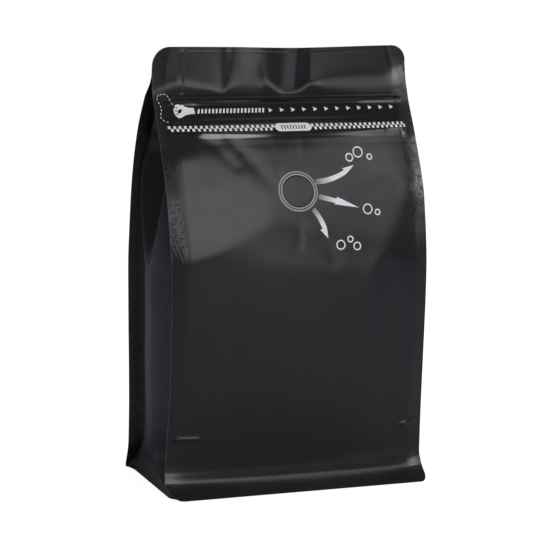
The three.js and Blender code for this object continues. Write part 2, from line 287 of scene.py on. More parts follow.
def level_heights(bands, top):
    """Heights of a web's rows, from bands of (from, to, spacing) and closer along the rounded corners."""
    rows = [np.arange(low, high, spacing) for low, high, spacing in bands]
    turn = 1 - np.sin(np.linspace(0, math.pi / 2, CORNER_STEPS))
    foot_corner = max(FRONT_FOOT_CORNERS.values()) * turn
    top_corner = BAG_HEIGHT - max(TOP_CORNERS.values()) * turn
    heights = np.unique(np.round(np.concatenate(rows + [foot_corner, top_corner]), 2))
    return np.append(heights[heights < top - LEAST_STEP], top)


def panel_columns(z, foot_corners, fin_steps, panel_steps):
    """Places across a panel at each height, from fin tip to fin tip, and a mask of the cut edges."""
    root = fin_root(z)
    left_tip, right_tip = -fin_tip(z, -1, foot_corners[-1]), fin_tip(z, 1, foot_corners[1])
    left = np.linspace(left_tip + CUT_EDGE, -root, fin_steps, endpoint=False, axis=1)
    panel = np.linspace(-root, root, panel_steps, endpoint=False, axis=1)
    right = np.linspace(root, right_tip - CUT_EDGE, fin_steps + 1, axis=1)
    places = np.concatenate([left_tip[:, None], left, panel, right, right_tip[:, None]], axis=1)
    edge = np.zeros_like(places)
    edge[:, [0, -1]] = 1
    return places, edge


def sheet_faces(rows, columns, first=0, ring=False):
    """Faces of a closed thin sheet: an outer grid of points and an inner one, joined along their edges."""
    inner = rows * columns
    grid = first + np.arange(inner).reshape(rows, columns)
    if ring:
        grid = np.column_stack([grid, grid[:, 0]])
        rims = [grid[0], grid[-1, ::-1]]
    else:
        rims = [np.concatenate([grid[0, :-1], grid[:-1, -1], grid[-1, :0:-1], grid[:, 0][::-1]])]
    corners = grid[:-1, :-1], grid[:-1, 1:], grid[1:, 1:], grid[1:, :-1]
    skin = np.stack(corners, -1).reshape(-1, 4)
    faces = [skin, skin[:, ::-1] + inner]
    for rim in rims:
        here, after = rim[:-1], rim[1:]
        faces.append(np.stack([after, here, here + inner, after + inner], -1))
    return np.concatenate(faces).tolist()


def add_piece(name, points, faces, material):
    """Object that rides on the bag, from points in millimetres."""
    mesh = bpy.data.meshes.new(name)
    mesh.from_pydata((points * MM).tolist(), [], faces)
    mesh.shade_smooth()
    mesh.set_sharp_from_angle(angle=SHARP_EDGE)
    mesh.materials.append(material)
    piece = bpy.data.objects.new(name, mesh)
    bpy.context.collection.objects.link(piece)
    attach(piece, "root")
    return piece


def film_piece(name, outside, inside, material, ring=False, **masks):
    """Closed thin sheet between two grids of points, with masks of its sealed, polished and cut places."""
    points = np.concatenate([outside.reshape(-1, 3), inside.reshape(-1, 3)])
    piece = add_piece(name, points, sheet_faces(*outside.shape[:2], ring=ring), material)
    for mask, share in masks.items():
        values = piece.data.attributes.new(mask, "FLOAT", "POINT").data
        values.foreach_set("value", np.tile(share.ravel(), 2).astype(np.float32))
    return piece


def set_socket(tree, socket, value):
    """Joins another node's socket to this one, or gives it a plain value."""
    if isinstance(value, bpy.types.NodeSocket):
        tree.links.new(value, socket)
    else:
        socket.default_value = value


def add_node(tree, kind, settings=(), **values):
    """A node with its settings, and socket values given by their names with _ for a space."""
    node = tree.nodes.new(kind)
    for key, value in dict(settings).items():
        setattr(node, key, value)
    for name, value in values.items():
        set_socket(tree, node.inputs[name.replace("_", " ")], value)
    return node


def math_node(tree, operation, *values):
    node = add_node(tree, "ShaderNodeMath", {"operation": operation})
    for socket, value in zip(node.inputs, values):
        set_socket(tree, socket, value)
    return node.outputs[0]


# Numbers of the mix node's sockets for colours
MIX_SHARE, MIX_LOW, MIX_HIGH, MIX_RESULT = 0, 6, 7, 2


def mix_colours(tree, share, low, high):
    node = add_node(tree, "ShaderNodeMix", {"data_type": "RGBA"})
    for number, value in ((MIX_SHARE, share), (MIX_LOW, low), (MIX_HIGH, high)):
        set_socket(tree, node.inputs[number], value)
    return node.outputs[MIX_RESULT]


def map_range(tree, value, low, high, to_low=0.0, to_high=1.0):
    """Value moved from one range to another and held at its ends."""
    ends = {"From_Min": low, "From_Max": high, "To_Min": to_low, "To_Max": to_high}
    return add_node(tree, "ShaderNodeMapRange", Value=value, **ends).outputs["Result"]


def noise(tree, place, scale, detail):
    return add_node(tree, "ShaderNodeTexNoise", Vector=place, Scale=scale, Detail=detail).outputs["Fac"]


def object_place(tree):
    return add_node(tree, "ShaderNodeTexCoord").outputs["Object"]


def mask_of(tree, name):
    return add_node(tree, "ShaderNodeAttribute", {"attribute_name": name}).outputs["Fac"]


def node_group(name, inputs, outputs):
    """Empty shader group with named sockets, and its two ends."""
    group = bpy.data.node_groups.new(name, "ShaderNodeTree")
    for socket, kind, value in inputs:
        group.interface.new_socket(socket, in_out="INPUT", socket_type=kind).default_value = value
    for socket, kind in outputs:
        group.interface.new_socket(socket, in_out="OUTPUT", socket_type=kind)
    return group, group.nodes.new("NodeGroupInput"), group.nodes.new("NodeGroupOutput")


# Fine finish of printed and matte lacquered plastic: cloudy tone, slightly uneven gloss, fine grain.
# Scales are noise cells per metre.
BLACK = (0, 0, 0, 1)
WHITE = (1, 1, 1, 1)
CLOUD_SCALE, CLOUD_DETAIL = 38.0, 4.0
SPECK_SCALE, SPECK_DETAIL = 420.0, 3.0
GRAIN_SCALE, GRAIN_DETAIL = 1900.0, 2.0
SPECK_SHARE = 0.35
TONE_LOW, TONE_HIGH = 0.35, 0.65
surface_finish, finish_in, finish_out = node_group(
    "surface_finish",
    [
        ("Dark", "NodeSocketColor", BLACK),
        ("Light", "NodeSocketColor", WHITE),
        ("Gloss Low", "NodeSocketFloat", 0.3),
        ("Gloss High", "NodeSocketFloat", 0.5),
    ],
    [("Colour", "NodeSocketColor"), ("Roughness", "NodeSocketFloat"), ("Height", "NodeSocketFloat")],
)
place = object_place(surface_finish)
clouds = noise(surface_finish, place, CLOUD_SCALE, CLOUD_DETAIL)
grain = noise(surface_finish, place, GRAIN_SCALE, GRAIN_DETAIL)
specks = noise(surface_finish, place, SPECK_SCALE, SPECK_DETAIL)
cloud_part = math_node(surface_finish, "MULTIPLY", clouds, 1 - SPECK_SHARE)
tone = math_node(surface_finish, "MULTIPLY_ADD", specks, SPECK_SHARE, cloud_part)
gloss_ends = finish_in.outputs["Gloss Low"], finish_in.outputs["Gloss High"]
gloss = map_range(surface_finish, tone, TONE_LOW, TONE_HIGH, *gloss_ends)
shade = mix_colours(surface_finish, tone, finish_in.outputs["Dark"], finish_in.outputs["Light"])
for result, socket in zip((shade, gloss, grain), finish_out.inputs):
    surface_finish.links.new(result, socket)


def finished_material(name, dark, light, gloss):
    """Principled material on the shared finish, with its tree, shader and finish node."""
    material = bpy.data.materials.new(name)
    material.use_nodes = True
    tree = material.node_tree
    colours = {"Dark": (*dark, 1), "Light": (*light, 1), "Gloss_Low": gloss[0], "Gloss_High": gloss[1]}
    finish = add_node(tree, "ShaderNodeGroup", {"node_tree": surface_finish}, **colours)
    shader = tree.nodes["Principled BSDF"]
    tree.links.new(finish.outputs["Colour"], shader.inputs["Base Color"])
    tree.links.new(finish.outputs["Roughness"], shader.inputs["Roughness"])
    return material, tree, shader, finish


# The black film: a fine diamond knurl where the sealing bars pressed, a polish where they pressed hardest,
# and a painted highlight: a grey line along its cut edges, as if they caught the light
FILM_DARK = (0.0055, 0.0054, 0.0062)
FILM_LIGHT = (0.0085, 0.0083, 0.0098)
FILM_GLOSS = (0.22, 0.29)
PAINTED_EDGE_HIGHLIGHT = (0.16, 0.16, 0.17, 1)
SEAL_DULLNESS = 0.02
POLISH_ROUGHNESS = 0.16
POLISH_IOR = 1.9
KNURL_PITCH = 0.95 * MM
KNURL_WEAR_SCALE, KNURL_WEAR_DETAIL = 600.0, 2.0
KNURL_WORN, KNURL_WHOLE = 0.42, 0.66
KNURL_BUMP = {"Strength": 0.3, "Distance": 0.14 * MM}
GRAIN_BUMP = {"Strength": 0.12, "Distance": 0.03 * MM}
film, film_tree, film_shader, film_finish = finished_material(
    "black_film", FILM_DARK, FILM_LIGHT, FILM_GLOSS
)
seal_mask = mask_of(film_tree, "seal")
polish_mask = mask_of(film_tree, "polish")
edge_highlight_mask = mask_of(film_tree, "cut")
# Painted highlight: the cut edges are coloured grey as if they caught the light
film_colour = mix_colours(film_tree, edge_highlight_mask, film_finish.outputs["Colour"], PAINTED_EDGE_HIGHLIGHT)
film_tree.links.new(film_colour, film_shader.inputs["Base Color"])
film_place = object_place(film_tree)
film_x, film_y, film_z = add_node(film_tree, "ShaderNodeSeparateXYZ", Vector=film_place).outputs
film_across = math_node(film_tree, "ADD", film_x, film_y)
knurl_lines = []
for way in ("ADD", "SUBTRACT"):
    run = math_node(film_tree, way, film_across, film_z)
    turn = math_node(film_tree, "MULTIPLY", run, math.pi / KNURL_PITCH)
    knurl_lines.append(math_node(film_tree, "SINE", turn))
knurl_noise = noise(film_tree, film_place, KNURL_WEAR_SCALE, KNURL_WEAR_DETAIL)
knurl_wear = map_range(film_tree, knurl_noise, KNURL_WORN, KNURL_WHOLE)
knurl = math_node(film_tree, "MULTIPLY", math_node(film_tree, "MULTIPLY", *knurl_lines), knurl_wear)
knurl = math_node(film_tree, "MULTIPLY", knurl, math_node(film_tree, "MAXIMUM", seal_mask, polish_mask))
film_grain = film_finish.outputs["Height"]
grain_bump = add_node(film_tree, "ShaderNodeBump", Height=film_grain, **GRAIN_BUMP).outputs["Normal"]
knurl_bump = add_node(film_tree, "ShaderNodeBump", Height=knurl, Normal=grain_bump, **KNURL_BUMP)
film_tree.links.new(knurl_bump.outputs["Normal"], film_shader.inputs["Normal"])
film_gloss = math_node(
    film_tree, "MULTIPLY_ADD", seal_mask, SEAL_DULLNESS, film_finish.outputs["Roughness"]
)
film_tree.links.new(film_gloss, film_shader.inputs["Roughness"])
film_tree.links.new(polish_mask, film_shader.inputs["Coat Weight"])
film_shader.inputs["Coat Roughness"].default_value = POLISH_ROUGHNESS
film_shader.inputs["Coat IOR"].default_value = POLISH_IOR

# How hard the sealing bar pressed the strip below the zipper, from left to right
STRIP_EDGE = 0.5
strip_press = profile([
    (-64, 0), (-47, 0), (-42, 0.9), (-38, 1), (-22, 1), (-12, 0.4), (-8, 0.1), (12, 0.1), (18, 0.4),
    (36, 0.4), (40, 0.25), (52, 0.3), (56, 0.1), (64, 0),
])
# Spots that were pressed hardest: across, height, reach and polish
POLISHED_SPOTS = ((60, 194.5, 5, 0.8), (-61, 9.2, 5, 0.3), (60, 8.8, 3, 1))
# Polished stretches of the tear line: from, to and polish
POLISHED_TEARS = ((-49, -43, 0.4), (36, 60, 0.7))
TEAR_LINE = 181.7
TEAR_SPREAD = 0.9
TEAR_EASE_IN, TEAR_EASE_OUT = 5, 2


def polish_share(x, z):
    """Polish of the strip below the zipper, the spots that were pressed hardest and the tear line."""
    strip = smooth(z, STRIP_LOW - STRIP_EDGE, STRIP_LOW + STRIP_EDGE)
    strip = strip - smooth(z, STRIP_HIGH - STRIP_EDGE, STRIP_HIGH + STRIP_EDGE)
    polish = strip * strip_press(x)
    for spot_x, spot_height, reach, share in POLISHED_SPOTS:
        polish = polish + share * hump(np.hypot(x - spot_x, z - spot_height), 0, reach)
    for start, end, share in POLISHED_TEARS:
        run = smooth(x, start, start + TEAR_EASE_IN) * (1 - smooth(x, end - TEAR_EASE_OUT, end))
        polish = polish + share * run * hump(z, TEAR_LINE, TEAR_SPREAD)
    return np.minimum(polish, 1)


FRONT_BANDS = (
    (0, 14, 0.6), (14, 27, 1.3), (27, 33, 0.5), (33, 112, 1.6), (112, 160, 0.9), (160, 208, 0.45),
)
FRONT_FIN_STEPS, FRONT_STEPS = 7, 150
SEAL_EDGE = 0.5
FOOT_SEAL_BLUR = 3.5
FOOT_SEAL_START, FOOT_SEAL_END = 8, 22
front_levels = level_heights(FRONT_BANDS, BAG_HEIGHT)
front_x, front_cut = panel_columns(front_levels, FRONT_FOOT_CORNERS, FRONT_FIN_STEPS, FRONT_STEPS)
front_z = np.broadcast_to(front_levels[:, None], front_x.shape)
front_y = front_depth(front_x, front_z)
front_height = front_z - top_dip(front_x, front_z)
seal_blur = SEAL_EDGE + FOOT_SEAL_BLUR * (1 - smooth(front_z, FOOT_SEAL_START, FOOT_SEAL_END))
front_panel = film_piece(
    "front_panel",
    np.stack([front_x, front_y, front_height], -1),
    np.stack([front_x, front_y + FILM_THICK, front_height], -1),
    film,
    seal=smooth(np.abs(front_x) - fin_root(front_z), -seal_blur, seal_blur),
    polish=polish_share(front_x, front_z),
    cut=front_cut,
)
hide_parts("bag")


# Back panel: a plain web of the same film, with the same fins, zipper tape and foot lip as the front.
# Above the zipper it lies against the front panel, and the two are pressed together.
BACK_BELLY_SHARE = 1.3
BACK_FIN_LEAN = 1.2
BACK_FOOT_CORNERS = {-1: 1.2, 1: 1.2}
HEADER_THICK = 2.15 * FILM_THICK
back_edge = profile([
    (0, 38.6), (13, 35.8), (65, 38.4), (100, 37.6), (125, 33), (150, 25.3), (170, 15),
    (185, 2.5), (192, -3.2), (HEADER_FLAT, -5.8), (BAG_HEIGHT, -4.75),
])
BACK_FOLDS = (
    ((-18, 162), (-10, 128), 4, 0.35),
    ((22, 163), (13, 126), 4.5, 0.4),
    ((-44, 150), (-34, 96), 7, -0.4),
    ((46, 146), (36, 92), 7, -0.4),
    ((-58, 30.2), (-47, 30.2), 0.9, 0.25),
    ((47, 30.2), (58, 30.2), 0.9, 0.25),
    ((-30, 90), (-27, 36), 4, 0.2),
)


def back_depth(x, z):
    """The back panel's place along Y: its belly between the fins, which lean back from it."""
    across = np.abs(x) / fin_root(z)
    belly = BACK_BELLY_SHARE * belly_rise(z) * (1 - np.minimum(across, 1) ** 2)
    fin = BACK_FIN_LEAN * np.clip((np.abs(x) - fin_root(z)) / seal_width(z), 0, 1)
    groove = SEAL_GROOVE * hump(np.abs(x) - fin_root(z), 0, SEAL_GROOVE_SPREAD)
    out = belly + fin - groove + zipper_out(x, z) + ripple(-x, z)
    loose = back_edge(z) + out - fold_depth(x, z, BACK_FOLDS)
    pressed = front_depth(x, z) + HEADER_THICK
    return loose + (pressed - loose) * smooth(z, HEADER_START, HEADER_FLAT)


BACK_BANDS = (
    (0, 14, 0.8), (14, 27, 2), (27, 33, 0.6), (33, 112, 3), (112, 160, 2), (160, 208, 0.7),
)
BACK_FIN_STEPS, BACK_STEPS = 6, 90
back_levels = level_heights(BACK_BANDS, BAG_HEIGHT)
back_x, back_cut = panel_columns(back_levels, BACK_FOOT_CORNERS, BACK_FIN_STEPS, BACK_STEPS)
back_z = np.broadcast_to(back_levels[:, None], back_x.shape)
back_y = back_depth(back_x, back_z)
back_height = back_z - top_dip(back_x, back_z)
back_seal = smooth(np.abs(back_x) - fin_root(back_z), -SEAL_EDGE, SEAL_EDGE)
back_panel = film_piece(
    "back_panel",
    np.stack([back_x, back_y, back_height], -1)[:, ::-1],
    np.stack([back_x, back_y - FILM_THICK, back_height], -1)[:, ::-1],
    film,
    seal=back_seal[:, ::-1],
    polish=(polish_share(back_x, back_z) * (1 - back_seal))[:, ::-1],
    cut=back_cut[:, ::-1],
)
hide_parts("bag")


# Side gussets: two webs of the same film, each sealed to the insides of a front and a back fin.
# They bulge out flush with the fins over the belly, and fold inwards above it until the header closes them.
FIN_THICK = 0.7
FIN_LEFT_OPEN = 0.6
FOOT_SLOT_START = 16
GUSSET_TOP = HEADER_FLAT
HEADER_LAYERS = 3
GUSSET_BANDS = ((0, 14, 0.7), (14, 100, 1.8), (100, 180, 1.2), (180, 198, 0.6))
FLANGE_STEPS = 5
GUSSET_STEPS = 56
STRAIGHT_SHARE = 0.4
SHORTEST_NORMAL = 1e-9
# How far the ridge and the middle crease stand out from the fins' roots by height, and the ridge's place
ridge_out = profile([
    (0, 5.8), (20, 6.6), (60, 8), (105, 8), (130, 6.8), (145, 5.2), (160, 2.5), (175, 0.4), (BAG_HEIGHT, 0),
])
crease_out = profile([
    (0, 5.8), (20, 6.8), (60, 8.2), (105, 8.2), (130, -5), (145, -14), (160, -24), (178, -29),
    (186, -22), (192, -4), (197, 0), (BAG_HEIGHT, 0),
])
ridge_place = profile([
    (0, 0.78), (8, 0.6), (20, 0.2), (60, 0.14), (105, 0.14), (130, 0.45), (145, 0.7), (160, 0.88),
    (BAG_HEIGHT, 0.88),
])


def gusset_row(z, side):
    """Points of a gusset's outer face at a height, from front fin tip to back fin tip, and its seal mask."""
    root = fin_root(z)
    front_tip = fin_tip(z, side, FRONT_FOOT_CORNERS[side])
    back_tip = fin_tip(z, side, BACK_FOOT_CORNERS[side])
    pressed = smooth(z, HEADER_START, HEADER_FLAT)
    closed = max(pressed, 1 - smooth(z, 0, FOOT_SLOT_START))
    front_root = root + (front_tip - FIN_LEFT_OPEN - root) * closed
    back_root = root + (back_tip - FIN_LEFT_OPEN - root) * closed
    apart = back_depth(side * back_tip, z) - front_depth(side * front_tip, z)
    thick = min(FIN_THICK, apart / HEADER_LAYERS)
    front_fin = np.linspace(front_tip, front_root, FLANGE_STEPS, endpoint=False)
    back_fin = np.linspace(back_root, back_tip, FLANGE_STEPS + 1)[1:]
    front_fin_y = front_depth(side * front_fin, z) + thick
    back_fin_y = back_depth(side * back_fin, z) - thick
    front_root_y = front_depth(side * front_root, z) + thick
    back_root_y = back_depth(side * back_root, z) - thick
    ridge = root + ridge_out(z) + (front_root - root - ridge_out(z)) * pressed
    crease = root + crease_out(z) + (front_root - root - crease_out(z)) * pressed
    at = ridge_place(z)
    section = [(-1, front_root), (-at, ridge), (0, crease), (at, ridge), (1, back_root)]
    along = np.linspace(-1, 1, GUSSET_STEPS + 1)
    straight = np.interp(along, *np.array(section).T)
    web_x = STRAIGHT_SHARE * straight + (1 - STRAIGHT_SHARE) * profile(section)(along)
    web_y = (front_root_y + back_root_y) / 2 + (back_root_y - front_root_y) / 2 * along
    x = np.concatenate([front_fin, web_x, back_fin])
    y = np.concatenate([front_fin_y, web_y, back_fin_y])
    seal = np.concatenate([np.ones(FLANGE_STEPS), np.zeros(GUSSET_STEPS + 1), np.ones(FLANGE_STEPS)])
    return np.stack([side * x, y, np.full_like(x, z)], -1), seal


def inward(points):
    """Grid moved by the film's thickness to its inner side."""
    along = np.gradient(points, axis=1)
    up = np.gradient(points, axis=0)
    normals = np.cross(along, up)
    lengths = np.linalg.norm(normals, axis=-1, keepdims=True)
    return points - FILM_THICK * normals / np.maximum(lengths, SHORTEST_NORMAL)


gusset_levels = level_heights(GUSSET_BANDS, GUSSET_TOP)
for name, side in (("left_gusset", -1), ("right_gusset", 1)):
    rows = [gusset_row(z, side) for z in gusset_levels]
    outside = np.stack([points for points, seal in rows])[:, ::side]
    seal = np.stack([seal for points, seal in rows])[:, ::side]
    gusset = film_piece(name, outside, inward(outside), film, seal=seal)
    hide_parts("bag")


# Bottom panel: the web that makes the bag stand flat, sealed inside the lips of the four sides.
# A shallow channel runs round it behind the lips, and the coffee presses the rest flat on the floor.
LIP_THICK = 1
LIP_INSET = 0.1
CHANNEL_WIDTH = 3
CHANNEL_DEPTH = 2
CHANNEL_END = LIP_THICK + 2 * CHANNEL_WIDTH
FLAT_START = LIP_THICK + 2.5 * CHANNEL_WIDTH
FLAT_RISE = 0.05
MIDDLE_GAP = 0.02
BOTTOM_RINGS = 26
BOTTOM_FLAT_RINGS = 12
bottom_height = profile([
    (0, 0), (LIP_THICK, 0), (LIP_THICK + CHANNEL_WIDTH, CHANNEL_DEPTH), (CHANNEL_END, FLAT_RISE),
    (FLAT_START, FLAT_RISE),
])
foot_front = np.stack([front_x[0], front_y[0] + FILM_THICK], -1)
foot_back = np.stack([back_x[0], back_y[0] - FILM_THICK], -1)
foot_sides = {side: gusset_row(0, side)[0][FLANGE_STEPS:-FLANGE_STEPS, :2] for side in (-1, 1)}
outline = np.concatenate([foot_front, foot_sides[1], foot_back[::-1], foot_sides[-1][::-1]])
middle = (outline.max(0) + outline.min(0)) / 2
reach = (outline.max(0) - outline.min(0)) / 2
channel_insets = np.linspace(LIP_INSET, CHANNEL_END, BOTTOM_RINGS)
flat_insets = np.linspace(FLAT_START, reach[1] - MIDDLE_GAP, BOTTOM_FLAT_RINGS)
rings = []
for inset in np.append(channel_insets, flat_insets):
    ring = middle + (outline - middle) * (1 - inset / reach)
    rings.append(np.column_stack([ring, np.full(len(ring), bottom_height(inset))]))
underside = np.stack(rings)[::-1]
bottom_panel = film_piece("bottom_panel", underside, underside + [0, 0, FILM_THICK], film, ring=True)
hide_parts("bag")


# One-way valve: a thin moulded disc of plastic welded to the inside of the film.
# It shows as two fine pale rings with a dark groove between them, round a middle that the film covers.
VALVE_STEPS = 96
VALVE_BEDDED = 0.25
VALVE_PIN = 0.02
MIDDLE_EDGE = 7.75
INNER_RING_EDGE = 8.2
OUTER_RING_START = 9.05
valve_relief = profile([
    (0, 0.1), (6.2, 0.04), (7, 0.02), (MIDDLE_EDGE, 0.46), (7.85, 0.54), (8.05, 0.54),
    (INNER_RING_EDGE, 0.44), (8.6, 0.3), (OUTER_RING_START, 0.36), (9.15, 0.6), (9.4, 0.58),
    (VALVE_RADIUS, 0.02),
])
pale_ring = finished_material("pale_valve_ring", (0.42, 0.41, 0.41), (0.62, 0.6, 0.6), (0.3, 0.42))[0]
grey_rim = finished_material("grey_valve_rim", (0.07, 0.07, 0.07), (0.12, 0.115, 0.115), (0.25, 0.35))[0]
valve_out = np.array([valve_slope_x, -1, valve_slope_z]) / math.hypot(valve_slope_x, valve_slope_z, 1)
valve_across = np.cross(valve_out, (0, 0, 1))
valve_across /= np.linalg.norm(valve_across)
valve_up = np.cross(valve_across, valve_out)
valve_turn = np.linspace(0, 2 * math.pi, VALVE_STEPS, endpoint=False)
valve_spokes = np.cos(valve_turn)[:, None] * valve_across + np.sin(valve_turn)[:, None] * valve_up
# Each piece of the valve: name, outer and inner radius, rows of points and material
VALVE_PIECES = (
    ("valve_middle", MIDDLE_EDGE, VALVE_PIN, 26, film),
    ("valve_inner_ring", INNER_RING_EDGE, MIDDLE_EDGE, 12, pale_ring),
    ("valve_groove", OUTER_RING_START, INNER_RING_EDGE, 10, grey_rim),
    ("valve_outer_ring", VALVE_RADIUS, OUTER_RING_START, 14, pale_ring),
)
for name, outer, inner, rows, material in VALVE_PIECES:
    radii = np.linspace(outer, inner, rows)
    on_film = np.array([VALVE_X, 0, VALVE_HEIGHT]) + radii[:, None, None] * valve_spokes
    on_film[..., 1] = front_depth(on_film[..., 0], on_film[..., 2])
    outside = on_film + valve_relief(radii)[:, None, None] * valve_out
    piece = film_piece(name, outside, on_film - VALVE_BEDDED * valve_out, material, ring=True)
    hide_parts("valve")


# Opening print: opaque white ink on the film over the zipper tape, each mark a thin raised patch.
# A hand grips the dashed pull tab on the left fin, and strokes and arrowheads run along the tape from it.
INK_SUNK = 0.05
WHITE_PROUD = 0.07
DARK_PROUD = 0.12
INK_DARK, INK_LIGHT, INK_GLOSS = (0.8, 0.8, 0.8), (0.95, 0.95, 0.95), (0.4, 0.55)
ink = finished_material("white_ink", INK_DARK, INK_LIGHT, INK_GLOSS)[0]


def ink_piece(name, patches, material, proud, ring=False):
    """Closed thin patches over the front film, from grids of (across, height) points."""
    points, faces = [], []
    first = 0
    for patch in patches:
        x, z = np.array(patch, float).transpose(2, 0, 1)
        y = front_depth(x, z)
        outer = np.stack([x, y - proud, z], -1)
        inner = np.stack([x, y + INK_SUNK, z], -1)
        points += [outer.reshape(-1, 3), inner.reshape(-1, 3)]
        faces += sheet_faces(*x.shape, first, ring)
        first += 2 * x.size
    return add_piece(name, np.concatenate(points), faces, material)


def ribbon(low, high, across=3):
    """Patch between two rows of points, with so many points across it."""
    share = np.linspace(0, 1, across)[:, None, None]
    return np.array(low) + (np.array(high) - np.array(low)) * share


def bar(left, right, low, high):
    return ribbon([(left, low), (right, low)], [(left, high), (right, high)])


HAND_LEFT, HAND_RIGHT = -54.8, -47.4
HAND_STEPS, HAND_ROWS = 30, 7
hand_top = profile([
    (HAND_LEFT, 178.9), (-54.4, 180.1), (-53.5, 181.2), (-52.2, 181.7), (-51.2, 181.3), (-50.2, 181.4),
    (-49, 180.6), (HAND_RIGHT, 180.2),
])
hand_foot = profile([
    (HAND_LEFT, 178.3), (-54.6, 177.2), (-53.9, 176.3), (-52.9, 175.6), (-51.7, 175.7), (-50.7, 176.3),
    (-49.2, 176.9), (HAND_RIGHT, 177.2),
])
CUFF = {"left": HAND_RIGHT, "right": -44.9, "low": 177.3, "high": 180}
hand_x = np.linspace(HAND_LEFT, HAND_RIGHT, HAND_STEPS)
hand_low = np.column_stack([hand_x, hand_foot(hand_x)])
hand_high = np.column_stack([hand_x, hand_top(hand_x)])
palm = ribbon(hand_low, hand_high, HAND_ROWS)
ink_piece("printed_hand", [palm, bar(**CUFF)], ink, WHITE_PROUD)

GRIP_MIDDLE = (-51.9, 178.6)
GRIP_LONG, GRIP_SHORT = (0.95, 0.7), (-0.4, 0.55)
GRIP_TIP_TURN = 0.06
GRIP_STEPS, GRIP_ROWS = 15, 5
FINGER_GAP_HEIGHTS = (180.2, 178.8, 177.4)
FINGER_GAP_INSET = 0.3
FINGER_GAP_LENGTH = 1.7
FINGER_GAP_HALF = 0.17
grip_turn = np.linspace(GRIP_TIP_TURN, math.pi - GRIP_TIP_TURN, GRIP_STEPS)[:, None]
grip_line = GRIP_MIDDLE + np.cos(grip_turn) * GRIP_LONG
grip_out = np.sin(grip_turn) * GRIP_SHORT
hand_gaps = [ribbon(grip_line + grip_out, grip_line - grip_out, GRIP_ROWS)]
gap_left = HAND_LEFT + FINGER_GAP_INSET
for height in FINGER_GAP_HEIGHTS:
    gap_low, gap_high = height - FINGER_GAP_HALF, height + FINGER_GAP_HALF
    hand_gaps.append(bar(gap_left, gap_left + FINGER_GAP_LENGTH, gap_low, gap_high))
ink_piece("printed_hand_gaps", hand_gaps, film, DARK_PROUD)

STROKE_START, STROKE_END, STROKE_COUNT = -43.7, -12.4, 19
STROKE_WIDTH = 0.85
STROKE_SLANT = 0.65
STROKE_LOW, STROKE_HIGH = 177.45, 179.45
strokes = []
for left in np.linspace(STROKE_START, STROKE_END, STROKE_COUNT):
    foot = [(left, STROKE_LOW), (left + STROKE_WIDTH, STROKE_LOW)]
    head = [(x + STROKE_SLANT, STROKE_HIGH) for x, z in foot]
    strokes.append(ribbon(foot, head))
ink_piece("printed_strokes", strokes, ink, WHITE_PROUD)

ARROWHEAD_COUNT = 12
ARROWHEAD_FIRST, ARROWHEAD_LAST = (-8.9, 178.4), (52.3, 178.9)
ARROWHEAD_LENGTH = 1.8
ARROWHEAD_HALF = 0.95
ARROWHEAD_TIP_HALF = 0.08
arrowheads = []
for x, z in np.linspace(ARROWHEAD_FIRST, ARROWHEAD_LAST, ARROWHEAD_COUNT):
    tip = x + ARROWHEAD_LENGTH
    low = [(x, z - ARROWHEAD_HALF), (tip, z - ARROWHEAD_TIP_HALF)]
    high = [(x, z + ARROWHEAD_HALF), (tip, z + ARROWHEAD_TIP_HALF)]
    arrowheads.append(ribbon(low, high))
ink_piece("printed_arrowheads", arrowheads, ink, WHITE_PROUD)

TAB_LINE = (
    (-54.8, 181.7), (-55.5, 183.6), (-56.3, 185.3), (-58.2, 186.3), (-60.5, 185.9), (-61.6, 184.6),
    (-61.3, 183), (-60.5, 181.3), (-60.2, 179.3), (-60.9, 177.3), (-61, 175.7), (-60, 174.6),
    (-58.6, 173.9), (-56.6, 174),
)
TAB_LINE_HALF = 0.15
TAB_DASH, TAB_GAP = 0.95, 0.75
DASH_STEPS = 5
tab_steps = np.append(0, np.cumsum(np.linalg.norm(np.diff(TAB_LINE, axis=0), axis=1)))
tab_x, tab_z = (profile(np.column_stack([tab_steps, values])) for values in np.transpose(TAB_LINE))
dashes = []
for start in np.arange(0, tab_steps[-1] - TAB_DASH, TAB_DASH + TAB_GAP):
    along = np.linspace(start, start + TAB_DASH, DASH_STEPS)
    line = np.column_stack([tab_x(along), tab_z(along)])
    run = np.gradient(line, axis=0)
    aside = np.column_stack([-run[:, 1], run[:, 0]]) / np.linalg.norm(run, axis=1)[:, None]
    dashes.append(ribbon(line - TAB_LINE_HALF * aside, line + TAB_LINE_HALF * aside))
ink_piece("printed_pull_tab", dashes, ink, WHITE_PROUD)


# Checker strip: two staggered rows of white ink squares along the zipper, with a white lozenge half way.
# The lozenge carries a row of short dark strokes, like the teeth of a zipper.
CHECK_HEIGHT = 170.85
CHECK_SIZE = 1.22
CHECK_LEFT, CHECK_RIGHT = -58.8, 57.2
LOZENGE_X = 0.5
LOZENGE_HALF_LENGTH = 9.1
LOZENGE_HALF_HEIGHT = 1.75
LOZENGE_END = 0.2
LOZENGE_TIP = 0.999
LOZENGE_STEPS, LOZENGE_ROWS = 41, 9
TOOTH_COUNT = 9
TOOTH_REACH = 5.6
TOOTH_HALF = 0.28
TOOTH_HALF_HEIGHT = 0.85
checks = []
for number, left in enumerate(np.arange(CHECK_LEFT, CHECK_RIGHT, CHECK_SIZE)):
    if abs(left + CHECK_SIZE / 2 - LOZENGE_X) > LOZENGE_HALF_LENGTH:
        low = CHECK_HEIGHT - CHECK_SIZE * (number % 2)
        checks.append(bar(left, left + CHECK_SIZE, low, low + CHECK_SIZE))
ink_piece("checker_strip", checks, ink, WHITE_PROUD)
along = np.linspace(-LOZENGE_TIP, LOZENGE_TIP, LOZENGE_STEPS)
half = LOZENGE_HALF_HEIGHT * np.sqrt(np.minimum(1, (1 - np.abs(along)) / LOZENGE_END))
lozenge_x = LOZENGE_X + LOZENGE_HALF_LENGTH * along
lozenge_low = np.column_stack([lozenge_x, CHECK_HEIGHT - half])
lozenge_high = np.column_stack([lozenge_x, CHECK_HEIGHT + half])
